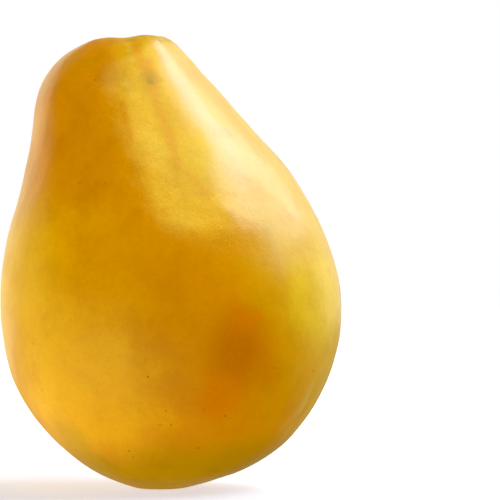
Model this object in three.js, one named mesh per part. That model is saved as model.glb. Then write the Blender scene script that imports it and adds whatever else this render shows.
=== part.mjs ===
// A whole ripe papaya, standing on its blossom end with the stem end up.
// Millimetres, +Z up. The origin is the middle of the small flat spot that the fruit rests on.
// The front of the fruit faces -Y, and its neck leans towards -X.
import * as THREE from 'three';
import { mergeVertices } from 'three/addons/utils/BufferGeometryUtils.js';

const { degToRad, smoothstep } = THREE.MathUtils;

// The flat spot that the fruit rests on
const FLAT_SPOT_RADIUS = 7.5;

// Stations up the side: mean reach from the fruit's own axis, shift of that axis along X, and height
const SIDE_STATIONS = [
  [16.5, 1.4, 2.7],
  [26.5, 2.8, 6.8],
  [39.5, 3.6, 16.7],
  [50.8, 3.6, 32.7],
  [55.9, 3.8, 48.7],
  [56.6, 3.3, 66.7],
  [53.4, 2.1, 82.7],
  [48.4, 0.7, 96],
  [43, -1.9, 108],
  [37.1, -6, 119],
  [31.9, -9.9, 129],
  [27.1, -11.8, 136.5],
  [21.7, -12.1, 143],
  [14.8, -11.2, 148.4],
];
const DEPTH_RATIO = 0.97;          // front to back against side to side
const NECK_HEIGHTS = [70, 135];    // where the belly narrows into the neck
const NECK_SWAY = 2.5;             // how far the neck stands off towards the back

// The crest of the shoulders, and the dimple inside it that the stem grew from
const CREST_HEIGHT = 149.9;
const CREST_RADIUS = 9.8;
const CREST_SHIFT = -10.3;
const CREST_REACH = 12;            // how far the crest's own forms run down the shoulders
const CREST_WAVE = 0.3;            // rise of the crest on a ridge, and its fall in a groove
const CREST_TILT = 1;              // rise of the crest's high side
const CREST_HIGH_SIDE = degToRad(50);
const DIMPLE_FLOOR_HEIGHT = 147;
const DIMPLE_FLOOR_RADIUS = 6.4;

// Five lobes, one to a seed chamber. The first ridge is at the front right.
const LOBE_COUNT = 5;
const FIRST_RIDGE = degToRad(31);
const BELLY_LOBE = 0.006;          // rise of a ridge as a share of the reach
const NECK_LOBE = 0.026;
const CREST_LOBE = 0.055;

// The dried stub of the stem, which stands in the dimple
const STUB_RADIUS = 5.4;
const STUB_WAIST_RADIUS = 4.8;
const STUB_HEIGHT = 2.2;
const STUB_HOLLOW = 0.6;           // how far its face has sunk in the middle
const STUB_LOBE = 0.05;
const STUB_GAP = 0.3;              // clear of the dimple's floor

// Fineness of the surfaces
const FRUIT_SEGMENTS = 60;
const STEPS_PER_STATION = 4;
const STUB_SEGMENTS = 30;

// Angles run round the fruit from its front towards +X
function lobeWave(angle) {
  return Math.cos(LOBE_COUNT * (angle - FIRST_RIDGE));
}

function neckShare(height) {
  return smoothstep(height, ...NECK_HEIGHTS);
}

// 1 on the crest, and down to 0 at CREST_REACH outside it and on the dimple's floor
function crestShare(reach, height) {
  const run = reach > CREST_RADIUS ? CREST_REACH : CREST_RADIUS - DIMPLE_FLOOR_RADIUS;
  const away = Math.min(Math.abs(reach - CREST_RADIUS) / run, 1);
  return neckShare(height) * (1 + Math.cos(Math.PI * away)) / 2;
}

function sway(height) {
  return NECK_SWAY * neckShare(height);
}

// Turns every vertex of a lathe, given by its ring and angle, into its place on the finished shape
function shapedLathe(rings, segments, place) {
  const lathe = new THREE.LatheGeometry(rings.map((ring) => new THREE.Vector2(ring.x, ring.z)), segments);
  lathe.deleteAttribute('normal');
  lathe.deleteAttribute('uv');
  const position = lathe.getAttribute('position');
  for (let i = 0; i < position.count; i += 1) {
    const angle = 2 * Math.PI * Math.floor(i / rings.length) / segments;
    const { x, y, z } = place(rings[i % rings.length], angle);
    position.setXYZ(i, x, y, z);
  }
  return mergeVertices(lathe, 1e-3);
}

// Rings from the middle of the flat spot, up the side and over the crest, to the middle of the dimple.
// A ring holds reach, shift along X, and height.
function fruitRings() {
  const side = new THREE.CatmullRomCurve3([
    new THREE.Vector3(FLAT_SPOT_RADIUS, 0, 0),
    ...SIDE_STATIONS.map((station) => new THREE.Vector3(...station)),
    new THREE.Vector3(CREST_RADIUS, CREST_SHIFT, CREST_HEIGHT),
    new THREE.Vector3(DIMPLE_FLOOR_RADIUS, CREST_SHIFT, DIMPLE_FLOOR_HEIGHT),
  ]);
  return [
    new THREE.Vector3(0, 0, 0),
    ...side.getPoints(STEPS_PER_STATION * (side.points.length - 1)),
    new THREE.Vector3(0, CREST_SHIFT, DIMPLE_FLOOR_HEIGHT),
  ];
}

function fruitPlace(ring, angle) {
  const [reach, shift, height] = ring.toArray();
  const neck = neckShare(height);
  const crest = crestShare(reach, height);
  const lobe = BELLY_LOBE + (NECK_LOBE - BELLY_LOBE) * neck + (CREST_LOBE - NECK_LOBE) * crest;
  const out = reach * (1 + lobe * lobeWave(angle));
  const rise = CREST_WAVE * lobeWave(angle) + CREST_TILT * Math.cos(angle - CREST_HIGH_SIDE);
  return new THREE.Vector3(
    shift + out * Math.sin(angle),
    sway(height) - DEPTH_RATIO * out * Math.cos(angle),
    height + crest * rise,
  );
}

// Rings from the middle of the stub's foot, round its waist, to the middle of its sunken face
function stubRings() {
  const foot = DIMPLE_FLOOR_HEIGHT + STUB_GAP;
  const top = foot + STUB_HEIGHT;
  return [
    new THREE.Vector3(0, CREST_SHIFT, foot),
    new THREE.Vector3(STUB_RADIUS, CREST_SHIFT, foot),
    new THREE.Vector3(STUB_WAIST_RADIUS, CREST_SHIFT, foot + STUB_HEIGHT / 2),
    new THREE.Vector3(STUB_RADIUS, CREST_SHIFT, top - STUB_HEIGHT / 8),
    new THREE.Vector3(STUB_WAIST_RADIUS, CREST_SHIFT, top),
    new THREE.Vector3(STUB_WAIST_RADIUS / 2, CREST_SHIFT, top - STUB_HOLLOW / 2),
    new THREE.Vector3(0, CREST_SHIFT, top - STUB_HOLLOW),
  ];
}

function stubPlace(ring, angle) {
  const [reach, shift, height] = ring.toArray();
  const out = reach * (1 + STUB_LOBE * lobeWave(angle));
  return new THREE.Vector3(
    shift + out * Math.sin(angle),
    sway(DIMPLE_FLOOR_HEIGHT) - out * Math.cos(angle),
    height,
  );
}

function namedMesh(name, geometry, color, roughness) {
  const mesh = new THREE.Mesh(geometry, new THREE.MeshStandardMaterial({ color, roughness, metalness: 0 }));
  mesh.name = name;
  return mesh;
}

const papaya = new THREE.Group();
papaya.add(
  namedMesh('fruit', shapedLathe(fruitRings(), FRUIT_SEGMENTS, fruitPlace), 0xdc960e, 0.4),
  namedMesh('stem_stub', shapedLathe(stubRings(), STUB_SEGMENTS, stubPlace), 0x8a7a5c, 0.9),
);

export default papaya;
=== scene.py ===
# A ripe papaya standing on its blossom end, with its dried stem stub, on a pale floor in soft light.
import math
import random
from typing import NamedTuple

import bpy
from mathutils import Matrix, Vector


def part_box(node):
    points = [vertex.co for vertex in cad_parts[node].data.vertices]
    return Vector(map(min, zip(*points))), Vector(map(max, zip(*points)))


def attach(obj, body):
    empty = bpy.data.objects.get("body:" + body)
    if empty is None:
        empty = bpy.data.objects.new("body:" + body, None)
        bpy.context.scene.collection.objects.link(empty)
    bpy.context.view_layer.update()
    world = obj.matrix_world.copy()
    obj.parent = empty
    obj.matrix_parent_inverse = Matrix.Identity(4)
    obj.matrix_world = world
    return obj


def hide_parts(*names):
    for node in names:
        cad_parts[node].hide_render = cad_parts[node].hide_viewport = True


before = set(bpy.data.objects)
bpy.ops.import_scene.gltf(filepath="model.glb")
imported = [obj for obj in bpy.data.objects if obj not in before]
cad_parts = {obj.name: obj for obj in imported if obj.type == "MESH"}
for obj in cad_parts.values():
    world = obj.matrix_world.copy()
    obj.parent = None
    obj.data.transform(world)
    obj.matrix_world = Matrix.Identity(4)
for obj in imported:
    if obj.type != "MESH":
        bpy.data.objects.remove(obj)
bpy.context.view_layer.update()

papaya = bpy.data.collections.new("papaya")
bpy.context.scene.collection.children.link(papaya)

MM = 0.001

# The photograph's frame: its size, its scale at the fruit, and the pixel where the fruit rests
FRAME_PIXELS = 500
MM_PER_PIXEL = 0.333
REST_PIXEL = (160, 488.2)
CAMERA_DISTANCE = 1.0
SENSOR_WIDTH = 36

# The stem end, as the frame has it. The stub stands clear of the dimple's floor by its gap.
stub_low, stub_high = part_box("stem_stub")
STEM_X = (stub_low.x + stub_high.x) / 2
STEM_Y = (stub_low.y + stub_high.y) / 2
STUB_RADIUS = (stub_high.x - stub_low.x) / 2
STUB_GAP = 0.3 * MM
DIMPLE_FLOOR = stub_low.z - STUB_GAP
CREST_RADIUS = 9.8 * MM

# How deep the pit at the blossom end is, and the numbers that pick how the stub is torn and crumbled
BLOSSOM_PIT_DEPTH = 0.9 * MM
TORN_PICK = 5
CRUMBLED_PICK = 3

# The surroundings. Soft light comes from above and below, and a little more from the left. The fruit
# mirrors a room that is dim in front, pale behind, with a lit table to the left.
SOFT_ABOVE = 0.1
SOFT_BELOW = 0.97
SOFT_LEFT = 1.85
SOFT_RIGHT = 0.8
SOFT_SIDES = 0.8
SOFT_COLOR = (1, 0.95, 0.4, 1)
MIRRORED_FRONT = 0.04
MIRRORED_BEHIND = 0.4
WALL_COLOR = (1, 0.9, 0.6, 1)
MIRRORED_TABLE = 0.75
TABLE_COLOR = (1, 0.9, 0.2, 1)

# The floor, and its glow near the fruit and far from it: painted light, dimmer near the fruit as a painted
# shadow round it
FLOOR_SIZE = 6
FLOOR_COLOR = (0.8, 0.8, 0.8, 1)
NEAR_SHADOW_GLOW = (0.45, 0.49, 0.61, 1)
FAR_GLOW = (1, 1, 1, 1)
GLOW_RUN = (20 * MM, 400 * MM)

# What the lights face, and the blue below which the picture shows none, which deepens the yellows
MIDDLE = Vector((0, 0, 80 * MM))
BLUE_BLACK = 0.011


def from_pixel(pixel_x, pixel_y):
    """The x and z of a mark on the front of the fruit, in metres, from its place in the photograph"""
    return (pixel_x - REST_PIXEL[0]) * MM_PER_PIXEL * MM, (REST_PIXEL[1] - pixel_y) * MM_PER_PIXEL * MM


def make_active(piece):
    bpy.ops.object.select_all(action="DESELECT")
    piece.select_set(True)
    bpy.context.view_layer.objects.active = piece


def merged_copy(node, name):
    """A piece of its own with a CAD node's shape, its loose triangles merged into one net of quads"""
    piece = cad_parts[node].copy()
    piece.data = piece.data.copy()
    piece.name = piece.data.name = name
    for key in [key for key in piece.keys() if key.startswith("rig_")]:
        del piece[key]
    piece.parent = None
    papaya.objects.link(piece)
    make_active(piece)
    piece.data.materials.clear()
    bpy.ops.mesh.customdata_custom_splitnormals_clear()
    bpy.ops.object.mode_set(mode="EDIT")
    bpy.ops.mesh.select_all(action="SELECT")
    bpy.ops.mesh.remove_doubles(threshold=0.01 * MM)
    bpy.ops.mesh.mark_sharp(clear=True)
    bpy.ops.mesh.tris_convert_to_quads(face_threshold=1.2, shape_threshold=1.2)
    bpy.ops.mesh.select_all(action="DESELECT")
    bpy.ops.object.mode_set(mode="OBJECT")
    return piece


def apply_modifier(piece, kind, **settings):
    make_active(piece)
    modifier = piece.modifiers.new(kind.lower(), kind)
    for name, value in settings.items():
        setattr(modifier, name, value)
    bpy.ops.object.modifier_apply(modifier=modifier.name)


def subdivide(piece, levels):
    apply_modifier(piece, "SUBSURF", levels=levels, render_levels=levels)


def displace(piece, noise_size, strength, group=""):
    """Raises and sinks a piece's surface by soft noise, where its vertex group lets it"""
    texture = bpy.data.textures.new(piece.name + "_lumps", "CLOUDS")
    texture.noise_scale = noise_size
    texture.noise_depth = 1
    apply_modifier(piece, "DISPLACE", texture=texture, texture_coords="LOCAL",
                   strength=strength, mid_level=0.5, vertex_group=group)


def pull(piece, chosen, move, reach):
    """Moves the chosen vertices, and what lies within reach of them less and less"""
    make_active(piece)
    for vertex in piece.data.vertices:
        vertex.select = chosen(vertex.co)
    bpy.ops.object.mode_set(mode="EDIT")
    bpy.ops.transform.translate(value=move, use_proportional_edit=True, proportional_size=reach,
                                proportional_edit_falloff="SMOOTH")
    bpy.ops.mesh.select_all(action="DESELECT")
    bpy.ops.object.mode_set(mode="OBJECT")


def shade_smooth(piece):
    make_active(piece)
    bpy.ops.object.shade_smooth()


class Value:
    """A number that varies over a surface. Sums with it are written as in Python and become Math nodes."""

    def __init__(self, nodes, socket):
        self.nodes = nodes
        self.socket = socket

    def maths(self, operation, first, second):
        node = self.nodes.node("ShaderNodeMath", {"operation": operation}, {0: first, 1: second})
        return Value(self.nodes, node.outputs[0])

    def __add__(self, other):
        return self.maths("ADD", self, other)

    __radd__ = __add__

    def __sub__(self, other):
        return self.maths("SUBTRACT", self, other)

    def __rsub__(self, other):
        return self.maths("SUBTRACT", other, self)

    def __mul__(self, other):
        return self.maths("MULTIPLY", self, other)

    __rmul__ = __mul__

    def at_least(self, lowest):
        return self.maths("MAXIMUM", self, lowest)


class Nodes:
    """The nodes that make up a material or the surroundings"""

    def __init__(self, owner):
        owner.use_nodes = True
        self.tree = owner.node_tree
        self.tree.nodes.clear()

    def node(self, kind, settings=None, sockets=None):
        """A new node, with its settings made first and then its sockets given values or links"""
        made = self.tree.nodes.new(kind)
        for name, value in (settings or {}).items():
            setattr(made, name, value)
        for name, value in (sockets or {}).items():
            if isinstance(value, Value):
                value = value.socket
            if isinstance(value, bpy.types.NodeSocket):
                self.tree.links.new(value, made.inputs[name])
            else:
                made.inputs[name].default_value = value
        return made


class Shader(Nodes):
    """One material, whose patterns follow their place on the object"""

    def __init__(self, name):
        self.material = bpy.data.materials.new(name)
        super().__init__(self.material)
        self.place = self.node("ShaderNodeTexCoord").outputs["Object"]

    def vector(self, operation, first, second=(0, 0, 0)):
        return self.node("ShaderNodeVectorMath", {"operation": operation}, {0: first, 1: second}).outputs[0]

    def length(self, vector):
        node = self.node("ShaderNodeVectorMath", {"operation": "LENGTH"}, {0: vector})
        return Value(self, node.outputs["Value"])

    def axis(self, name):
        node = self.node("ShaderNodeSeparateXYZ", None, {"Vector": self.place})
        return Value(self, node.outputs[name])

    def scaled_place(self, size, offset=(0, 0, 0)):
        sockets = {"Vector": self.place, "Scale": [1 / size] * 3, "Location": offset}
        return self.node("ShaderNodeMapping", None, sockets).outputs[0]

    def noise(self, size, detail=2, offset=(0, 0, 0)):
        """Soft noise about 0.5, with features of that size in metres"""
        return self.noise_at(self.scaled_place(size, offset), detail)

    def noise_at(self, place, detail):
        node = self.node("ShaderNodeTexNoise", None, {"Vector": place, "Scale": 1, "Detail": detail})
        return Value(self, node.outputs["Fac"])

    def cells(self, size):
        """The distance to the nearest of many scattered points, one to a cell of that size in metres"""
        node = self.node("ShaderNodeTexVoronoi", None, {"Vector": self.scaled_place(size), "Scale": 1})
        return Value(self, node.outputs["Distance"])

    def from_stem(self):
        """The way from the stem's axis to the surface, level"""
        level = self.vector("MULTIPLY", self.place, (1, 1, 0))
        return self.vector("SUBTRACT", level, (STEM_X, STEM_Y, 0))

    def streaks(self, count, length, detail=2):
        """Soft noise in about that many streaks round the stem's axis, each of that length up the fruit"""
        way = self.vector("NORMALIZE", self.from_stem())
        way = self.vector("MULTIPLY", way, (count / math.tau, count / math.tau, 0))
        rise = self.vector("MULTIPLY", self.place, (0, 0, 1 / length))
        return self.noise_at(self.vector("ADD", way, rise), detail)

    def between(self, value, low, high):
        """0 where value is low and 1 where it is high, with a soft run between them"""
        node = self.node("ShaderNodeMapRange", {"interpolation_type": "SMOOTHSTEP", "clamp": True},
                         {"Value": value, "From Min": low, "From Max": high})
        return Value(self, node.outputs["Result"])

    def near(self, point, radius, core=0.25, squeeze=(1, 1, 1), ragged=0.0):
        """1 at a point of the surface and 0 past radius from it. Squeeze narrows the mark along an axis."""
        away = self.length(self.vector("MULTIPLY", self.vector("SUBTRACT", self.place, point), squeeze))
        return self.between(away + ragged, radius, radius * core)

    def stroke(self, start, end, radius, core=0.0, ragged=0.0):
        """1 along a straight line between two points of the surface and 0 past radius from it"""
        line = end - start
        way = self.vector("SUBTRACT", self.place, start)
        along = self.node("ShaderNodeVectorMath", {"operation": "DOT_PRODUCT"}, {0: way, 1: line})
        share = self.node("ShaderNodeMath", {"operation": "DIVIDE", "use_clamp": True},
                          {0: along.outputs["Value"], 1: line.length_squared})
        foot = self.node("ShaderNodeVectorMath", {"operation": "SCALE"},
                         {0: line, "Scale": share.outputs[0]})
        away = self.length(self.vector("SUBTRACT", way, foot.outputs[0]))
        return self.between(away + ragged, radius, radius * core)

    def mix(self, share, first, second, blend="MIX"):
        """The first colour, which turns to the second as share goes from 0 to 1"""
        node = self.node("ShaderNodeMix", {"data_type": "RGBA", "blend_type": blend, "clamp_factor": True},
                         {0: share, 6: first, 7: second})
        return node.outputs[2]

    def bump(self, height, distance):
        sockets = {"Height": height, "Distance": distance, "Strength": 1}
        return self.node("ShaderNodeBump", None, sockets).outputs[0]

    def finish(self, **sockets):
        """The material, with those values and links on its surface's sockets"""
        principled = self.node("ShaderNodeBsdfPrincipled", None,
                               {name.replace("_", " "): value for name, value in sockets.items()})
        output = self.node("ShaderNodeOutputMaterial")
        self.tree.links.new(principled.outputs[0], output.inputs[0])
        return self.material


# Colours of the skin
AMBER = (0.72, 0.265, 0.002, 1)
YELLOW_ORANGE = (0.82, 0.39, 0.006, 1)
YELLOW = (0.70, 0.41, 0.012, 1)
OLIVE = (0.42, 0.225, 0.002, 1)
ORANGE_BROWN = (0.62, 0.17, 0.001, 1)
BRUISE_ORANGE = (0.74, 0.2, 0.001, 1)
LEAF_GREEN = (0.36, 0.34, 0.012, 1)
# Smudge colour, also laid as painted shade in the crease and at the dent
SMUDGE_AND_SHADE = (0.42, 0.14, 0.001, 1)
# Painted light on the left flank
LIT_FLANK_YELLOW = (0.93, 0.52, 0.014, 1)
PALE = (0.86, 0.68, 0.26, 1)
# Painted light on the right belly
LIT_BELLY_YELLOW = (0.82, 0.55, 0.03, 1)
# Painted sheen on the neck
LIT_NECK_YELLOW = (0.92, 0.47, 0.05, 1)
DULL_ORANGE = (0.69, 0.225, 0.003, 1)
SPECK_BROWN = (0.2, 0.1, 0.01, 1)
CORK = (0.34, 0.2, 0.07, 1)
SHADE = (0.86, 0.78, 0.5, 1)

# Colours of the stem stub
STEM_BARK = (0.2, 0.1, 0.045, 1)
STEM_BARK_PALE = (0.42, 0.25, 0.13, 1)
STEM_WOOD = (0.5, 0.3, 0.17, 1)
STEM_WOOD_PALE = (0.75, 0.53, 0.38, 1)
STEM_PITH = (0.13, 0.08, 0.04, 1)


class Patch(NamedTuple):
    """A patch of another colour on the skin. It has the pixel of its middle, its radius in millimetres, its
    colour and how strong that is. Core is the share of the radius that it fills, ragged is how torn its
    rim is, and squeeze is how much it is narrowed along each axis."""

    pixel: tuple
    radius: float
    color: tuple
    share: float
    core: float = 0.25
    ragged: float = 0.0
    squeeze: tuple = (1, 1, 1)
    blend: str = "MIX"


# The patches of each part of the skin, in the order that they are laid. Some are painted light and some
# painted shade.
LEFT_PAINTED_LIGHT_AND_SHADE = [
    # Painted light: lighter yellow-orange on the lower left and up that side, where the lit table lights it
    Patch((100, 300), 30, YELLOW_ORANGE, 0.4, core=0.3, ragged=0.7, squeeze=(1.3, 1, 0.75)),
    Patch((84, 215), 12, YELLOW_ORANGE, 0.3, core=0.2, ragged=0.5),
    Patch((85, 388), 36, YELLOW_ORANGE, 0.9, core=0.45, ragged=1),
    # Painted shade that dims the overhead light's reflection on the neck
    Patch((110, 75), 7, SHADE, 1, core=0.3, ragged=0.3, blend="MULTIPLY"),
]
RIGHT_PAINTED_LIGHT = [
    # Painted light: lighter yellow on the lit right belly, and warmer yellow-orange below the highlight
    Patch((320, 296), 19, LIT_BELLY_YELLOW, 0.7, core=0.4, ragged=1, squeeze=(1, 0.8, 0.9)),
    Patch((200, 212), 13, YELLOW_ORANGE, 0.8, core=0.3, ragged=0.6, squeeze=(0.8, 1, 1.2)),
]
BRUISE_PATCHES = [
    Patch((240, 350), 16, ORANGE_BROWN, 0.95, core=0.2, ragged=1, squeeze=(1, 1, 0.85)),
    Patch((216, 402), 12, BRUISE_ORANGE, 0.75, core=0.2, ragged=1),
    Patch((247, 318), 7, BRUISE_ORANGE, 0.5, core=0.2, ragged=0.5),
    Patch((270, 376), 8, ORANGE_BROWN, 0.4, core=0.2, ragged=0.5),
]
STEM_END_PATCHES = [
    Patch((160, 41), 1.6, LEAF_GREEN, 1),
    Patch((120, 50), 7, YELLOW_ORANGE, 0.6, core=0.3, ragged=0.4),
]
UNDERSIDE_OLIVE_AND_SHADE = [
    # Olive patches under the lower left, partly the skin's own colour and partly painted shade
    Patch((72, 440), 13, OLIVE, 0.5, ragged=0.5),
    Patch((103, 464), 9, OLIVE, 0.65, ragged=0.4),
]

# The edge of the painted sheen on the neck, between amber and yellow. Above its bend it stands straight,
# left of the middle, and below it leans to the right by a share of the way down.
EDGE_BEND_HEIGHT = 122 * MM
EDGE_LEFT = 14 * MM
EDGE_LEAN = 0.43

# The lighter band of painted sheen just past that edge: the pixels of its ends, and half width in
# millimetres
SHEEN_BAND = ((133, 104), (166, 198), 7)

# Duller streaks down the neck: the pixels of their ends, half width in millimetres, and how strong they are
DULL_STREAKS = [
    ((138, 46), (140, 66), 2.6, 0.7), ((147, 62), (154, 92), 4, 0.85),
    ((157, 102), (170, 136), 2.4, 0.7), ((170, 136), (177, 166), 2.6, 0.6),
    ((122, 104), (130, 140), 2.6, 0.6), ((188, 174), (208, 196), 2.4, 0.4),
]

# The pixels of the dark patch at a dent on the neck, partly a brown smudge and partly painted shade of the
# dent, and of its darkest part
DENT_PIXEL = (150, 78)
DENT_MIDDLE_PIXEL = (150, 82)

# Pixels of the dark specks on the skin, and each one's radius in millimetres
SPECKS = [
    ((198, 448), 0.55), ((313, 371), 0.5), ((274, 368), 0.35), ((148, 377), 0.5), ((166, 411), 0.4),
    ((160, 425), 0.35), ((171, 425), 0.4), ((204, 410), 0.35), ((225, 416), 0.45), ((129, 451), 0.5),
    ((133, 457), 0.4), ((152, 458), 0.45), ((42, 390), 0.4), ((70, 320), 0.3), ((95, 80), 0.4),
]

# Pale lines on the skin: two scratches, then painted highlight beside the crease, then pale streaks on the
# neck, partly the skin's own and partly painted sheen. For each: the pixels of its ends, its half width in
# millimetres, and how strong it is
PALE_LINES_AND_HIGHLIGHTS = [
    ((212, 198), (216, 202), 0.4, 0.2), ((255, 232), (262, 240), 0.4, 0.2),
    ((313, 380), (302, 408), 3, 0.12), ((302, 408), (284, 437), 3, 0.12),
    ((126, 84), (134, 96), 2.2, 0.12), ((128, 44), (131, 60), 1.8, 0.15), ((132, 110), (162, 156), 4, 0.1),
]

# The shallow crease at the lower right: pixels along it, and then the pixels of the ends of the painted
# shade in it, with that shade's half width in millimetres
CREASE = [(311, 392), (306, 402), (300, 412), (293, 422), (286, 431)]
CREASE_PAINTED_SHADE = ((306, 407), (293, 423), 1.6)

# Corky scuffs on the sides and back: degrees round from the front and height of each end, and half width
SCUFFS = [
    ((150, 74), (158, 60), 0.5), ((154, 76), (159, 68), 0.35), ((-140, 52), (-132, 47), 0.5),
    ((-170, 104), (-163, 97), 0.45), ((118, 38), (121, 31), 0.4), ((-104, 92), (-101, 84), 0.35),
]


def skin_hit(fruit, start, way):
    """The point where a line from start meets the fruit"""
    hit, point, _, _ = fruit.ray_cast(start, way)
    if not hit:
        raise ValueError(f"no skin from {start} along {way}")
    return point


def seen_skin(fruit, pixel):
    """The point of the skin that the camera sees at a pixel of the photograph"""
    mark_x, mark_z = from_pixel(*pixel)
    eye = bpy.context.scene.camera.location
    return skin_hit(fruit, eye, Vector((mark_x, 0, mark_z)) - eye)


def skin_round(fruit, turn, height):
    """The point of the skin at a number of degrees round from the front and a height in millimetres"""
    way = Vector((math.sin(math.radians(turn)), -math.cos(math.radians(turn)), 0))
    return skin_hit(fruit, Vector((0, 0, height * MM)), way)


class RipeSkin(Shader):
    """Waxy skin: amber to yellow in soft blotches, olive at both ends, with pores, streaks and specks, and
    painted light and shade in its colour
    """

    def __init__(self, fruit):
        super().__init__("ripe_skin")
        self.fruit = fruit
        self.color = AMBER
        self.x, self.y, self.z = self.axis("X"), self.axis("Y"), self.axis("Z")
        self.broad = self.noise(32 * MM, offset=(3, 1, 7))
        self.blotches = self.noise(11 * MM, detail=3, offset=(5, 9, 2))
        self.mottle = self.noise(2.6 * MM, detail=3)
        self.faint_streaks = self.streaks(36, 30 * MM)
        self.pores = self.between(self.cells(0.9 * MM), 0.08, 0.4)
        self.ragged = (self.blotches - 0.5) * (12 * MM) + self.frayed(3)
        self.neck = self.between(self.z, 78 * MM, 92 * MM) * self.between(self.y, 15 * MM, -5 * MM)
        # Past this edge the neck carries painted sheen and painted light
        edge_x = (EDGE_BEND_HEIGHT - self.z).at_least(0) * EDGE_LEAN - EDGE_LEFT
        past_edge = self.x - edge_x + (self.faint_streaks - 0.5) * (2.4 * MM) + self.ragged * 0.12
        self.sheen_side = self.between(past_edge, -2.4 * MM, 2.2 * MM)
        self.sheen_neck = self.neck * self.sheen_side
        in_dimple = self.between(self.length(self.from_stem()) + self.ragged * 0.3, 8.5 * MM, 6 * MM)
        self.stem_scar = self.between(self.z, 144 * MM, 146.5 * MM) * in_dimple
        self.blossom_scar = self.near((0, 0, 0), 5 * MM, core=0.4, ragged=self.ragged * 0.4)

    def frayed(self, depth):
        """A finely torn rim, of that depth in millimetres"""
        return (self.mottle - 0.5) * (depth * MM)

    def spot(self, pixel, radius, core=0.25, squeeze=(1, 1, 1), ragged=0.0):
        """1 at a pixel and 0 past radius from it, in millimetres"""
        return self.near(seen_skin(self.fruit, pixel), radius * MM, core, squeeze, ragged)

    def line(self, start, end, half_width, core=0.0, ragged=0.0):
        """1 along a line between two pixels and 0 past its half width, in millimetres"""
        start, end = seen_skin(self.fruit, start), seen_skin(self.fruit, end)
        return self.stroke(start, end, half_width * MM, core, ragged)

    def lay(self, share, color, blend="MIX"):
        """Lays a colour over what is there, as strongly as share says"""
        self.color = self.mix(share, self.color, color, blend)

    def shade(self, share):
        self.lay(share, SHADE, "MULTIPLY")

    def lay_patches(self, patches):
        for patch in patches:
            rim = self.ragged * patch.ragged
            mark = self.spot(patch.pixel, patch.radius, patch.core, patch.squeeze, rim)
            self.lay(mark * patch.share, patch.color, patch.blend)

    def ripen_and_paint_light(self):
        """Yellow on the side that grew ripe first, which is also the lit side and partly painted light, and
        amber on the other, with the edge of a painted sheen between them on the neck and painted shade
        beside it
        """
        # Yellow towards the lit right and top: partly the skin's own ripe colour, partly painted light
        ripe_and_lit = self.x * 0.85 + self.y * 0.35 + (self.z - 80 * MM) * 0.25
        ripe_and_lit = ripe_and_lit + (self.broad - 0.5) * (40 * MM) + self.ragged
        unlit_amber_neck = self.neck * (1 - self.sheen_side)
        # Extra yellow on the lit right slope of the neck is painted light
        lit_right_slope = self.between(self.z + self.x * 0.6, 99 * MM, 116 * MM)
        lit_right_slope = lit_right_slope * self.between(self.x, 0, 24 * MM)
        yellow = self.between(ripe_and_lit, -8 * MM, 34 * MM) * (1 - unlit_amber_neck * 0.9)
        self.lay(yellow + self.sheen_neck * 0.2 + self.sheen_neck * lit_right_slope * 0.35, YELLOW)
        # Painted shade on the amber just beside the sheen's edge
        painted_shade_beside_edge = self.between(self.x, -34 * MM, -20 * MM) * self.between(self.z, 104 * MM, 116 * MM)
        self.shade(unlit_amber_neck * painted_shade_beside_edge * 0.3)

    def paint_light_on_flank_and_neck(self):
        """Painted light: lighter yellow down the left flank where the left wall lights it, and painted sheen
        on the neck in a band just past the amber
        """
        # Painted light down the left flank
        flank = self.between(self.x + self.ragged * 0.5, -18 * MM, -44 * MM)
        flank = flank * self.between(self.z, 106 * MM, 80 * MM)
        self.lay(flank * (0.9 - self.between(self.z, 68 * MM, 34 * MM) * 0.5), LIT_FLANK_YELLOW)
        # Painted sheen in a band past the edge
        band = self.line(*SHEEN_BAND, core=0.2, ragged=self.ragged * 0.25)
        self.lay(band * self.sheen_side * 0.58, LIT_NECK_YELLOW)

    def darken_ends(self):
        """Olive underneath, partly the skin's own colour and partly painted shade where the underside gets
        little light, olive in patches round the stem, and cork where the stem and the flower grew
        """
        # Olive underneath, partly painted shade where the underside gets little light
        olive_rise = self.between(self.x, -12 * MM, 6 * MM) * (4 * MM)
        self.lay(self.between(self.z + self.ragged * 0.7 - olive_rise, 20 * MM, 5 * MM) * 0.85, OLIVE)
        self.lay_patches(UNDERSIDE_OLIVE_AND_SHADE)
        crest = self.between(self.z + self.ragged * 0.5, 132 * MM, 150 * MM)
        self.lay(crest * self.between(self.noise(5 * MM, detail=3), 0.5, 0.66) * 0.5, OLIVE)
        self.lay_patches(STEM_END_PATCHES)
        self.lay(self.stem_scar, CORK)
        self.lay(self.blossom_scar * 0.8, CORK)

    def dull(self):
        """Broad blotches, streaks and a dark patch at a dent on the neck, partly smudge and partly painted
        shade of the dent, and fine mottling all over
        """
        cloudy = self.between(self.blotches + (self.faint_streaks - 0.5) * 0.5, 0.4, 0.72)
        self.shade(cloudy * (0.4 + self.neck * 0.2))
        for start, end, half_width, share in DULL_STREAKS:
            streak = self.line(start, end, half_width, core=0.1, ragged=self.ragged * 0.12)
            self.lay(streak * share, DULL_ORANGE)
        # The dent's dark patch: partly a brown smudge, partly painted shade of the dent
        dent = self.spot(DENT_PIXEL, 5.5, core=0.0, squeeze=(1, 1, 0.75), ragged=self.frayed(4))
        self.lay(dent * 0.85, SMUDGE_AND_SHADE)
        self.lay(self.spot(DENT_MIDDLE_PIXEL, 2, core=0.1, ragged=self.frayed(2)) * 0.5, SPECK_BROWN)
        self.shade(self.between(self.mottle, 0.4, 0.7) * 0.22)
        dust = self.between(self.noise(0.7 * MM), 0.35, 0.7)
        self.shade(dust * (0.5 + self.sheen_neck * 0.5) * 0.5)
        self.shade((1 - self.pores) * 0.35)

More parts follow.
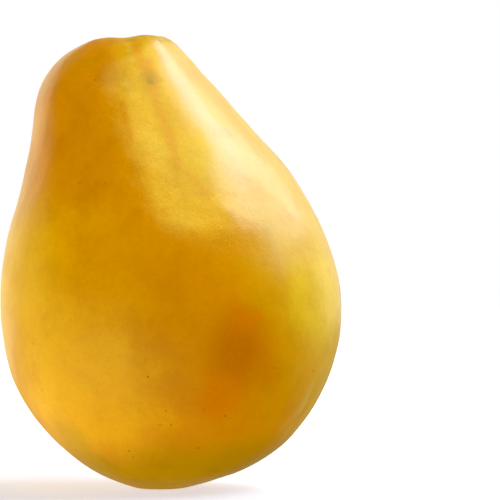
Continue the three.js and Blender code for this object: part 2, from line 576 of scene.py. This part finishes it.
    def mark(self):
        """Specks, pale scratches, painted highlight and sheen lines, painted shade in the crease, corky
        scuffs and a few freckles
        """
        for pixel, radius in SPECKS:
            self.lay(self.spot(pixel, radius, core=0.3) * 0.9, SPECK_BROWN)
        for start, end, half_width, share in PALE_LINES_AND_HIGHLIGHTS:
            pale = self.line(start, end, half_width, ragged=self.frayed(half_width))
            self.lay(pale * share, PALE)
        # Painted shade along the crease
        self.lay(self.line(*CREASE_PAINTED_SHADE, ragged=self.frayed(2)) * 0.3, SMUDGE_AND_SHADE)
        for start, end, half_width in SCUFFS:
            start, end = skin_round(self.fruit, *start), skin_round(self.fruit, *end)
            scuff = self.stroke(start, end, half_width * MM, ragged=self.frayed(2 * half_width))
            self.lay(scuff * 0.7, CORK)
        freckles = self.between(self.cells(7 * MM), 0.075, 0.03)
        self.lay(freckles * self.between(self.broad, 0.5, 0.6) * 0.6, SMUDGE_AND_SHADE)

    def finish_waxy(self):
        """The finished material, with a fine relief of pores and grain, and wrinkles round the stem end"""
        grain = self.noise(0.35 * MM, detail=1)
        wrinkles = self.streaks(24, 30 * MM, detail=3) * self.between(self.z, 139 * MM, 149 * MM)
        height = self.pores * 0.018 + grain * 0.03 + wrinkles * 0.2 + self.blotches * 0.3
        waxy = 0.25 + self.blotches * 0.06 + self.mottle * 0.04
        roughness = waxy + self.stem_scar * 0.4 + self.blossom_scar * 0.3
        normal = self.bump(height, 1 * MM)
        return self.finish(Base_Color=self.color, Roughness=roughness, IOR=1.7, Normal=normal)


def skin_material(fruit):
    skin = RipeSkin(fruit)
    skin.ripen_and_paint_light()
    skin.lay_patches(LEFT_PAINTED_LIGHT_AND_SHADE)
    skin.paint_light_on_flank_and_neck()
    skin.lay_patches(RIGHT_PAINTED_LIGHT)
    skin.lay_patches(BRUISE_PATCHES)
    skin.darken_ends()
    skin.dull()
    skin.mark()
    return skin.finish_waxy()


def from_stem_axis(place):
    """How far a point lies from the stem's axis, level"""
    return math.hypot(place.x - STEM_X, place.y - STEM_Y)


def on_crest(place, low_x, high_x):
    """Whether a point lies on the crest round the dimple, between two places across the fruit"""
    near_ring = abs(from_stem_axis(place) - CREST_RADIUS) < 2 * MM
    return near_ring and place.z > 147 * MM and low_x < place.x < high_x


def add_lumps(fruit):
    """Soft lumps all over, except on the flat spot that it rests on and round the stub"""
    free = fruit.vertex_groups.new(name="free")
    for vertex in fruit.data.vertices:
        off_floor = min(vertex.co.z / (4 * MM), 1)
        past_stub = max(from_stem_axis(vertex.co) / STUB_RADIUS - 1, 0)
        off_stub = 1 if vertex.co.z < 140 * MM else min(past_stub / 0.6, 1)
        free.add([vertex.index], off_floor * off_stub, "REPLACE")
    displace(fruit, 24 * MM, 0.8 * MM, "free")
    displace(fruit, 8 * MM, 0.2 * MM, "free")


def shape_stem_end(fruit):
    """Lowers the crest to the left and a little to the right, and smooths and fills the right shoulder"""
    pull(fruit, lambda place: on_crest(place, -40 * MM, -4 * MM), (0, 0, -0.6 * MM), 5 * MM)
    pull(fruit, lambda place: on_crest(place, 1 * MM, 3.5 * MM), (0, 0, -0.3 * MM), 3 * MM)
    shoulder = fruit.vertex_groups.new(name="shoulder")
    shoulder_ridge = Vector((3, -14, 146)) * MM
    for vertex in fruit.data.vertices:
        away = (vertex.co - shoulder_ridge).length / (18 * MM)
        shoulder.add([vertex.index], max(1 - away, 0), "REPLACE")
    apply_modifier(fruit, "SMOOTH", factor=0.5, iterations=80, vertex_group="shoulder")
    shoulder_slope = Vector((8.5, 1, 144.5)) * MM
    pull(fruit, lambda place: (place - shoulder_slope).length < 3 * MM, (0.15 * MM, 0, 0.18 * MM), 6 * MM)


def press_crease(fruit):
    for pixel in CREASE:
        mark = seen_skin(fruit, pixel)
        pull(fruit, lambda place: (place - mark).length < 1 * MM, (-0.2 * MM, 0.08 * MM, 0.08 * MM), 6 * MM)


def make_fruit():
    fruit = merged_copy("fruit", "papaya_fruit")
    subdivide(fruit, 2)
    add_lumps(fruit)
    pull(fruit, lambda place: place.length < 1.5 * MM, (0, 0, BLOSSOM_PIT_DEPTH), 4 * MM)
    shape_stem_end(fruit)
    press_crease(fruit)
    shade_smooth(fruit)
    fruit.data.materials.append(skin_material(fruit))
    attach(fruit, "root")
    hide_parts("fruit")


def stem_material():
    """Dry cork: a brown skin with ribs round a paler broken face, and dark pith in the middle"""
    shader = Shader("dry_stem")
    out = shader.length(shader.from_stem())
    fibres = shader.streaks(70, 3 * MM)
    crumbs = shader.noise(0.7 * MM, detail=3)
    ragged = (crumbs - 0.5) * (1.2 * MM)
    face = shader.between(shader.axis("Z") + ragged * 0.3, DIMPLE_FLOOR + 1.5 * MM, DIMPLE_FLOOR + 2.1 * MM)
    color = shader.mix(shader.between(fibres, 0.35, 0.65), STEM_BARK, STEM_BARK_PALE)
    wood = shader.mix(shader.between(fibres + crumbs - 0.5, 0.35, 0.7), STEM_WOOD, STEM_WOOD_PALE)
    color = shader.mix(face * shader.between(out + ragged, 4.9 * MM, 4.2 * MM), color, wood)
    color = shader.mix(shader.between(out + ragged, 1.9 * MM, 0.9 * MM) * 0.85, color, STEM_PITH)
    height = fibres * 0.3 + crumbs * 0.25
    return shader.finish(Base_Color=color, Roughness=0.85, Normal=shader.bump(height, 1 * MM))


def make_stub():
    """The stub, with torn pieces standing up round the rim of its face, and its middle sunk"""
    stub = merged_copy("stem_stub", "papaya_stem_stub")
    torn = random.Random(TORN_PICK)
    for face in stub.data.polygons:
        on_rim = from_stem_axis(face.center) > 0.6 * STUB_RADIUS
        face.select = face.normal.z > 0.3 and on_rim and torn.random() < 0.5
    bpy.ops.object.mode_set(mode="EDIT")
    bpy.ops.mesh.select_mode(type="FACE")
    bpy.ops.mesh.inset(thickness=0.12 * MM, use_individual=True)
    bpy.ops.transform.translate(value=(0, 0, 0.45 * MM))
    bpy.ops.mesh.select_all(action="SELECT")
    bpy.ops.transform.vertex_random(offset=0.14 * MM, seed=CRUMBLED_PICK)
    bpy.ops.mesh.select_all(action="DESELECT")
    bpy.ops.mesh.select_mode(type="VERT")
    bpy.ops.object.mode_set(mode="OBJECT")
    pull(stub, lambda place: from_stem_axis(place) < 1 * MM, (0, 0, -0.5 * MM), 2.5 * MM)
    subdivide(stub, 2)
    displace(stub, 1.3 * MM, 0.3 * MM)
    displace(stub, 0.5 * MM, 0.12 * MM)
    shade_smooth(stub)
    stub.data.materials.append(stem_material())
    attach(stub, "root")
    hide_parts("stem_stub")


def make_floor():
    """A pale floor that glows with painted light, whiter away from the fruit so that it meets the backdrop
    with no edge, and dimmer near it as a painted shadow
    """
    bpy.ops.mesh.primitive_plane_add(size=FLOOR_SIZE, location=(0, 0, 0))
    floor = bpy.context.object
    floor.name = "floor"
    shader = Shader("pale_floor")
    # Painted shadow: the glow dims towards the fruit
    away = shader.between(shader.length(shader.place), *GLOW_RUN)
    glow = shader.mix(away, NEAR_SHADOW_GLOW, FAR_GLOW)
    floor.data.materials.append(shader.finish(Base_Color=FLOOR_COLOR, Roughness=0.9,
                                              Emission_Color=glow, Emission_Strength=1))
    floor.visible_diffuse = floor.visible_glossy = floor.visible_shadow = False


def softbox(name, azimuth, elevation, distance, size, brightness, color, lit=None):
    """A soft light that faces the fruit. Its azimuth runs from the front towards +X, and its brightness is
    that of its own face. With a collection given as lit, it lights only that."""
    turn, rise = math.radians(azimuth), math.radians(elevation)
    way = Vector((math.sin(turn) * math.cos(rise), -math.cos(turn) * math.cos(rise), math.sin(rise)))
    data = bpy.data.lights.new(name, "AREA")
    data.shape = "RECTANGLE"
    data.size, data.size_y = size
    data.energy = brightness * math.pi * size[0] * size[1]
    data.color = color
    light = bpy.data.objects.new(name, data)
    light.location = MIDDLE + way * distance
    light.rotation_euler = (-way).to_track_quat("-Z", "Y").to_euler()
    light.visible_camera = False
    light.light_linking.receiver_collection = lit
    bpy.context.scene.collection.objects.link(light)


class Studio(Nodes):
    """The surroundings: white to the camera, and to the fruit a soft light and a dimmer room to mirror"""

    def __init__(self):
        world = bpy.data.worlds.new("studio")
        bpy.context.scene.world = world
        super().__init__(world)
        looked_at = self.node("ShaderNodeTexCoord").outputs["Generated"]
        self.way = self.node("ShaderNodeSeparateXYZ", None, {"Vector": looked_at}).outputs
        path = self.node("ShaderNodeLightPath").outputs
        at_sides = self.ramp("Z", -0.4, 0, 0, 1) * self.ramp("Z", 0.1, 0.6, 1, 0)
        at_sides = at_sides * self.ramp("Y", -0.6, 0.3, 0, SOFT_SIDES)
        all_round = self.ramp("Z", -0.5, 0.5, SOFT_BELOW, SOFT_ABOVE)
        all_round = all_round * self.ramp("X", -0.8, 0.8, SOFT_LEFT, SOFT_RIGHT)
        wall = self.ramp("Y", 0, 0.6, MIRRORED_FRONT, MIRRORED_BEHIND) * self.ramp("Z", -0.7, -0.1, 0.1, 1)
        table = self.ramp("Z", -0.45, -0.1, 1, 0) * self.ramp("Z", -0.85, -0.65, 0.2, 1)
        table = table * self.ramp("X", -0.52, -0.28, MIRRORED_TABLE, 0)
        mirrored = self.node("ShaderNodeAddShader", None,
                             {0: self.room(WALL_COLOR, wall), 1: self.room(TABLE_COLOR, table)}).outputs[0]
        around = self.choose(path["Is Glossy Ray"], self.room(SOFT_COLOR, all_round + at_sides), mirrored)
        seen = self.room((1, 1, 1, 1), 1)
        self.node("ShaderNodeOutputWorld", None, {0: self.choose(path["Is Camera Ray"], around, seen)})

    def ramp(self, axis, low, high, at_low, at_high):
        """A strength that changes softly with the direction looked at, from -1 to 1 along each axis"""
        node = self.node("ShaderNodeMapRange", {"interpolation_type": "SMOOTHSTEP"},
                         {"Value": self.way[axis], "From Min": low, "From Max": high,
                          "To Min": at_low, "To Max": at_high})
        return Value(self, node.outputs["Result"])

    def room(self, color, strength):
        return self.node("ShaderNodeBackground", None, {"Color": color, "Strength": strength}).outputs[0]

    def choose(self, share, first, second):
        return self.node("ShaderNodeMixShader", None, {0: share, 1: first, 2: second}).outputs[0]


def make_camera():
    """A long lens, level with the fruit's belly, that puts the fruit on the photograph's pixels"""
    data = bpy.data.cameras.new("camera")
    data.sensor_width = SENSOR_WIDTH
    data.lens = SENSOR_WIDTH * CAMERA_DISTANCE / (FRAME_PIXELS * MM_PER_PIXEL * MM)
    camera = bpy.data.objects.new("camera", data)
    middle_x, middle_z = from_pixel(FRAME_PIXELS / 2, FRAME_PIXELS / 2)
    camera.location = (middle_x, -CAMERA_DISTANCE, middle_z)
    camera.rotation_euler = (math.radians(90), 0, 0)
    bpy.context.scene.collection.objects.link(camera)
    bpy.context.scene.camera = camera


make_camera()
Studio()

# Each light's azimuth, elevation, distance, size, brightness and colour. The last two light the fruit alone.
softbox("key", 111, 41, 0.9, (0.95, 0.62), 2.5, (0.92, 0.93, 1))
softbox("key_core", 98, 51.5, 0.9, (0.92, 0.27), 3.15, (0.78, 0.79, 1))
softbox("side", 146, 15, 1.0, (0.8, 0.7), 0.68, (0.96, 1, 0.8))
softbox("overhead", 41, 64, 0.8, (0.8, 0.64), 3.3, (0.88, 1, 0.24), papaya)
softbox("left_wall", -150, 10, 1.0, (0.8, 0.75), 0.8, (1, 0.9, 0.6), papaya)

make_floor()
make_fruit()
make_stub()

view = bpy.context.scene.view_settings
view.view_transform = "Standard"
view.use_curve_mapping = True
view.curve_mapping.black_level = (0, 0, BLUE_BLACK)
